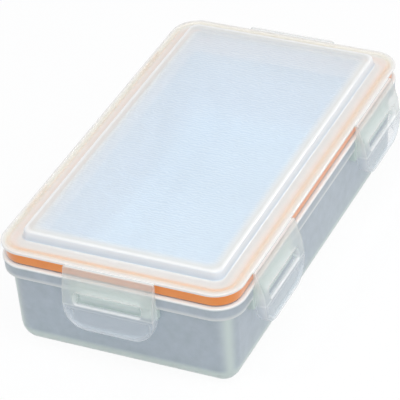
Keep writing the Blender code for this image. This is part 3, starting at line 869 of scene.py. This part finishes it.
def lug_mesh(sign):
    """Round-nosed lug that carries one end of a hinge pin."""
    deep = COLLAR_INSET + SEAM
    radius = HINGE_BARREL_RADIUS
    path, _ = rounded(
        (
            (-deep, HINGE_HEIGHT - radius, 0, 0),
            (HINGE_OUTSET + radius, HINGE_HEIGHT - radius, radius, 0),
            (HINGE_OUTSET + radius, HINGE_HEIGHT + radius, radius, 0),
            (HINGE_OUTSET - radius / 2, HINGE_HEIGHT + radius, radius / 2, 0),
            (-COLLAR_INSET, RIM_HEIGHT, 0, 0),
            (-deep, RIM_HEIGHT, 0, 0),
        ),
        closed=True,
        steps=NOSE_STEPS,
    )
    start = KNUCKLE_WIDTH / 2 + CLEARANCE
    ends = sorted((sign * start, sign * (start + LUG_WIDTH)))
    return bored_bar_mesh("lug", even_path(path, LUG_STEPS), *ends)


def knuckle_meshes():
    """Barrel round the pin and the flat arm that hangs it from the flange."""
    angle = np.linspace(0, 2 * math.pi, BARREL_STEPS, endpoint=False)
    axis = np.array((HINGE_OUTSET, HINGE_HEIGHT))
    circle = axis + HINGE_BARREL_RADIUS * np.stack((np.cos(angle), np.sin(angle)), 1)
    barrel = bored_bar_mesh("barrel", circle, -KNUCKLE_WIDTH / 2, KNUCKLE_WIDTH / 2)
    inner = KNUCKLE_ARM_OUTSET - KNUCKLE_ARM
    foot = HINGE_HEIGHT + PIN_RADIUS + CLEARANCE
    arm_path = np.array(
        (
            (inner, foot),
            (KNUCKLE_ARM_OUTSET, foot),
            (KNUCKLE_ARM_OUTSET, FLANGE_BOTTOM - EDGE_RADIUS),
            (-EDGE_RADIUS, FLANGE_BOTTOM + EDGE_RADIUS),
            (inner, FLANGE_BOTTOM + EDGE_RADIUS),
        )
    )
    half = KNUCKLE_WIDTH / 2
    arm = bar_mesh("arm", arm_path, -half, half, marks={"edge": 0.3, "thick": 1.0}, edge=KNUCKLE_ARM_EDGE)
    return [barrel, arm]


# Materials

def linear(code):
    """Linear colour of an sRGB hex code: v / 12.92 up to 0.04045, and ((v + 0.055) / 1.055) ^ 2.4 above."""
    values = np.array([int(code[i : i + 2], 16) for i in (0, 2, 4)]) / 255
    return (*np.where(values <= 0.04045, values / 12.92, ((values + 0.055) / 1.055) ** 2.4), 1.0)


def add(tree, kind, settings=None, links=None):
    """Add a node, set its properties or inputs by name, and link its inputs, by name or number, from sockets."""
    node = tree.nodes.new(kind)
    for name, value in (settings or {}).items():
        if name in node.inputs:
            node.inputs[name].default_value = value
        else:
            setattr(node, name, value)
    for name, socket in (links or {}).items():
        tree.links.new(socket, node.inputs[name])
    return node


def new_material(name):
    """Empty node material and its tree."""
    material = bpy.data.materials.new(name)
    material.use_nodes = True
    material.node_tree.nodes.clear()
    return material, material.node_tree


def feed(tree, socket, value):
    """Give an input a number, a hex colour or another node's output."""
    if isinstance(value, str):
        socket.default_value = linear(value)
    elif isinstance(value, (int, float)):
        socket.default_value = value
    else:
        tree.links.new(value, socket)


def mixed(tree, factor, first, second):
    """Colour between two, each a hex code or a socket."""
    node = add(tree, "ShaderNodeMix", {"data_type": "RGBA", "clamp_factor": True}, {"Factor": factor})
    feed(tree, node.inputs[6], first)
    feed(tree, node.inputs[7], second)
    return node.outputs[2]


def mixed_value(tree, factor, first, second):
    """Number between two, each a number or a socket."""
    node = add(tree, "ShaderNodeMix", {"data_type": "FLOAT"}, {"Factor": factor})
    feed(tree, node.inputs[2], first)
    feed(tree, node.inputs[3], second)
    return node.outputs[0]


def maths(tree, operation, first, second=0.0, third=0.0):
    """One sum with numbers or sockets."""
    node = add(tree, "ShaderNodeMath", {"operation": operation})
    for socket, value in zip(node.inputs, (first, second, third)):
        feed(tree, socket, value)
    return node.outputs[0]


def object_place(tree):
    """Place of a point in the object's own coordinates, in metres."""
    return add(tree, "ShaderNodeTexCoord").outputs["Object"]


def noise(tree, scale, detail=2.0, roughness=0.5, where=None):
    """Soft random values about 0.5, with about scale waves to the metre, or to one unit of where if that is given."""
    settings = {"Scale": scale, "Detail": detail, "Roughness": roughness}
    if where is None:
        where = object_place(tree)
    return add(tree, "ShaderNodeTexNoise", settings, {"Vector": where}).outputs["Fac"]


def mark_value(tree, mark):
    """Value of one of the marks that the meshes carry."""
    return add(tree, "ShaderNodeAttribute", {"attribute_name": mark}).outputs["Fac"]


def bump(tree, height, strength, depth):
    """Direction that fine relief faces: height 1 stands depth above height 0, and strength is how far it shows."""
    settings = {"Strength": strength, "Distance": depth}
    return add(tree, "ShaderNodeBump", settings, {"Height": height}).outputs["Normal"]


def surface(tree, settings, links):
    """Finish a material with one surface shader."""
    shader = add(tree, "ShaderNodeBsdfPrincipled", settings, links)
    add(tree, "ShaderNodeOutputMaterial", links={"Surface": shader.outputs["BSDF"]})


def seen_directly(tree):
    """1 for what the camera sees, also in a glossy face or through the plastic, and 0 for light on its way."""
    path = add(tree, "ShaderNodeLightPath")
    seen = maths(tree, "MAXIMUM", path.outputs["Is Camera Ray"], path.outputs["Is Glossy Ray"])
    return maths(tree, "MAXIMUM", seen, path.outputs["Is Transmission Ray"])


def frosted_polypropylene(name, finish, panel=False):
    """Natural polypropylene from a finely eroded mould: milky, half clear, paler where thick, with painted highlights.

    The surfaces carry marks for edges, where a near-white colour is a painted highlight, for thick stretches, where on
    the lid a warm near-white is a painted glow of the plug wall and the knuckles, for the tub's inside, whose walls
    carry painted light that makes them paler than its floor, and for places that let a piece behind them show. Each
    mark blends its own colour and cover in. panel adds the lid's embossed top with its fine lines.
    """
    material, tree = new_material(name)
    cloud = maths(tree, "MULTIPLY_ADD", noise(tree, 240.0, detail=4.0, roughness=0.65), *CLOUD_CONTRAST)
    height = maths(tree, "MULTIPLY", noise(tree, 2200.0), GRAIN_HEIGHT)
    colour = mixed(tree, cloud, finish["plain"], finish["cloud"])
    alpha = finish["cover"]
    roughness = mixed_value(tree, mark_value(tree, "inside"), PLASTIC_ROUGHNESS, TUB_INSIDE_ROUGHNESS)
    if panel:
        embossed = mark_value(tree, "panel")
        lines = linen(tree)
        height = maths(tree, "ADD", height, maths(tree, "MULTIPLY", lines, embossed))
        alpha = mixed_value(tree, embossed, alpha, PANEL_COVER)
        colour = mixed(tree, embossed, colour, mixed(tree, lines, PANEL_LOW, PANEL_HIGH))
    for mark, (tone, cover) in finish["marks"].items():
        amount = mark_value(tree, mark)
        colour = mixed(tree, amount, colour, tone)
        alpha = mixed_value(tree, amount, alpha, cover)
    shadow = add(tree, "ShaderNodeLightPath").outputs["Is Shadow Ray"]
    alpha = maths(tree, "MULTIPLY", alpha, maths(tree, "MULTIPLY_ADD", shadow, -finish["forward"], 1.0))
    relief = bump(tree, height, strength=0.6, depth=0.1 * MM)
    surface(
        tree,
        {
            "IOR": 1.49, "Coat Weight": finish["coat"], "Coat Roughness": 0.14,
            "Sheen Weight": finish["sheen"], "Sheen Roughness": 0.4,
        },
        {"Base Color": colour, "Roughness": roughness, "Alpha": alpha, "Normal": relief},
    )
    return material


def linen(tree):
    """Fine wavering lines across the panel: half of 1 + sin, its angle growing along the box and pushed by noise."""
    along = add(tree, "ShaderNodeSeparateXYZ", links={"Vector": object_place(tree)}).outputs["Y"]
    turn = maths(tree, "MULTIPLY", along, 2 * math.pi / LINE_PITCH)
    turn = maths(tree, "ADD", turn, maths(tree, "MULTIPLY", noise(tree, 420.0), LINE_WAVER))
    return maths(tree, "MULTIPLY_ADD", maths(tree, "SINE", turn), 0.5, 0.5)


def orange_silicone():
    """Silicone rubber, moulded: satin, with a faint white bloom that pales it where it is seen at a low angle."""
    material, tree = new_material("orange silicone")
    colour = mixed(tree, noise(tree, 120.0), "f88c3e", "ffa350")
    relief = bump(tree, noise(tree, 3000.0), strength=0.3, depth=0.05 * MM)
    surface(
        tree,
        {"Roughness": 0.45, "IOR": 1.43, "Sheen Weight": 1.0, "Sheen Roughness": 0.42},
        {"Base Color": colour, "Normal": relief},
    )
    return material


def drawn_steel():
    """Bright steel wire, drawn: metal with fine lines along it."""
    material, tree = new_material("drawn steel wire")
    stretch = add(tree, "ShaderNodeMapping", {"Scale": (9000.0, 120.0, 9000.0)}, {"Vector": object_place(tree)})
    lines = noise(tree, 1.0, where=stretch.outputs["Vector"])
    colour = mixed(tree, lines, "b4b4b6", "cfd0d2")
    relief = bump(tree, lines, strength=0.2, depth=0.02 * MM)
    surface(tree, {"Metallic": 1.0, "Roughness": 0.3}, {"Base Color": colour, "Normal": relief})
    return material


def white_floor():
    """Matt white paper that stays white to the camera and keeps the shadow, but throws grey light on the box."""
    material, tree = new_material("white paper floor")
    seen = seen_directly(tree)
    paper = add(tree, "ShaderNodeBsdfDiffuse", links={"Color": mixed(tree, seen, "cacaca", "ffffff")})
    glow = add(tree, "ShaderNodeEmission", {"Color": (1, 1, 1, 1), "Strength": 1.0})
    share = maths(tree, "MULTIPLY", seen, FLOOR_GLOW)
    blend = add(
        tree, "ShaderNodeMixShader", links={"Fac": share, 1: paper.outputs["BSDF"], 2: glow.outputs["Emission"]}
    )
    add(tree, "ShaderNodeOutputMaterial", links={"Surface": blend.outputs["Shader"]})
    return material


# Studio

def make_camera():
    """Camera of the photograph, at a distance from the origin along its back axis.

    Azimuth turns the back axis away from -Y towards +X, and elevation lifts it. Roll turns the level axis and the one
    at right angles to it and to back into the picture's right and up.
    """
    azimuth, elevation, roll = (math.radians(v) for v in (CAMERA_AZIMUTH, CAMERA_ELEVATION, CAMERA_ROLL))
    away = math.cos(elevation)
    back = np.array((math.sin(azimuth) * away, -math.cos(azimuth) * away, math.sin(elevation)))
    level = np.array((math.cos(azimuth), math.sin(azimuth), 0.0))
    over = np.cross(back, level)
    right = math.cos(roll) * level + math.sin(roll) * over
    up = -math.sin(roll) * level + math.cos(roll) * over
    camera = bpy.data.objects.new("camera", bpy.data.cameras.new("camera"))
    bpy.context.scene.collection.objects.link(camera)
    camera.data.sensor_width = SENSOR
    camera.data.lens = FOCAL_PIXELS / IMAGE * SENSOR
    camera.data.shift_x = -CENTRE_RIGHT / IMAGE
    camera.data.shift_y = CENTRE_DOWN / IMAGE
    matrix = np.eye(4)
    matrix[:3, :3] = np.stack((right, up, back), 1)
    matrix[:3, 3] = back * CAMERA_DISTANCE
    camera.matrix_world = Matrix(matrix.tolist())
    bpy.context.scene.camera = camera


def make_floor():
    """Wide floor just under the tub."""
    corners = [(x * FLOOR_REACH, y * FLOOR_REACH, -SEAM) for x, y in ((-1, -1), (1, -1), (1, 1), (-1, 1))]
    mesh = bpy.data.meshes.new("floor")
    mesh.from_pydata(corners, [], [(0, 1, 2, 3)])
    floor = bpy.data.objects.new("floor", mesh)
    floor.data.materials.append(white_floor())
    bpy.context.scene.collection.objects.link(floor)


def make_lamp(name, direction, size, power):
    """Square area lamp of a size in metres and a power in watts that faces the box from a direction."""
    lamp = bpy.data.lights.new(name, "AREA")
    lamp.size = size
    lamp.energy = power
    obj = bpy.data.objects.new(name, lamp)
    bpy.context.scene.collection.objects.link(obj)
    away = np.array(direction, float) / np.linalg.norm(direction)
    side = np.cross((0.0, 1.0, 0.001), away)
    side = side / np.linalg.norm(side)
    matrix = np.eye(4)
    matrix[:3, :3] = np.stack((side, np.cross(away, side), away), 1)
    matrix[:3, 3] = away * LAMP_DISTANCE
    obj.matrix_world = Matrix(matrix.tolist())


def make_world():
    """Even white surroundings: full white to the camera, and a plain level of light on the box."""
    world = bpy.data.worlds.new("studio")
    world.use_nodes = True
    tree = world.node_tree
    tree.nodes.clear()
    light = add(tree, "ShaderNodeBackground", {"Color": linear("f4f7fc"), "Strength": 0.45})
    white = add(tree, "ShaderNodeBackground", {"Color": (1, 1, 1, 1), "Strength": 1.0})
    blend = add(
        tree,
        "ShaderNodeMixShader",
        links={"Fac": seen_directly(tree), 1: light.outputs["Background"], 2: white.outputs["Background"]},
    )
    add(tree, "ShaderNodeOutputWorld", links={"Surface": blend.outputs["Shader"]})
    bpy.context.scene.world = world


def make_box():
    """Every piece of the box, in its finish, on its body."""
    tub_plastic = frosted_polypropylene("frosted polypropylene tub", TUB_FINISH)
    lid_plastic = frosted_polypropylene("frosted polypropylene lid", LID_FINISH, panel=True)
    latch_plastic = frosted_polypropylene("frosted polypropylene latch", LATCH_FINISH)
    tub_parts = [tub_mesh()]
    for _, matrix in latch_sites():
        tub_parts.append(moved(block_mesh(), matrix))
        tub_parts.append(moved(nib_mesh(), matrix))
    for matrix in hinge_sites():
        tub_parts.append(moved(lug_mesh(1), matrix))
        tub_parts.append(moved(lug_mesh(-1), matrix))
    place("tub", tub_parts, tub_plastic, "base", replaced=["base_tub"])
    lid_parts = [lid_mesh()]
    for matrix in hinge_sites():
        lid_parts.extend(moved(mesh, matrix) for mesh in knuckle_meshes())
    for _, matrix in latch_sites():
        lid_parts.append(moved(web_mesh(), matrix))
    place("lid", lid_parts, lid_plastic, "lid", replaced=["lid_cover"])
    place("seal", [seal_mesh()], orange_silicone(), "lid", replaced=["seal_ring"])
    axis = np.eye(4)
    axis[:3, 3] = (LATCH_AXIS_OUTSET, 0, LATCH_AXIS_HEIGHT)
    for name, matrix in latch_sites():
        place(
            name + "_shell", [latch_mesh()], latch_plastic, name,
            replaced=[name], matrix=matrix @ axis, crease=LATCH_CREASE,
        )


def main():
    """Draw the box in its studio, in the finish of each piece."""
    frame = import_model()
    make_camera()
    make_world()
    make_floor()
    make_lamp("key lamp", (0.2, -0.37, 0.9), size=0.7, power=4.9)
    make_lamp("glint lamp", (-0.36, -0.37, 0.86), size=0.12, power=0.6)
    make_lamp("side lamp", (0.95, 0.05, 0.3), size=1.1, power=1.8)
    make_lamp("rim lamp", (0.45, 0.7, 0.55), size=0.12, power=1.3)
    make_box()
    steel = drawn_steel()
    for name in ("hinge_pin_front", "hinge_pin_rear"):
        pin = frame["nodes"][name]
        for slot in pin.material_slots:
            slot.material = steel
    bpy.context.scene.view_settings.view_transform = "Standard"
    bpy.context.scene.cycles.transparent_max_bounces = CLEAR_FACES


main()
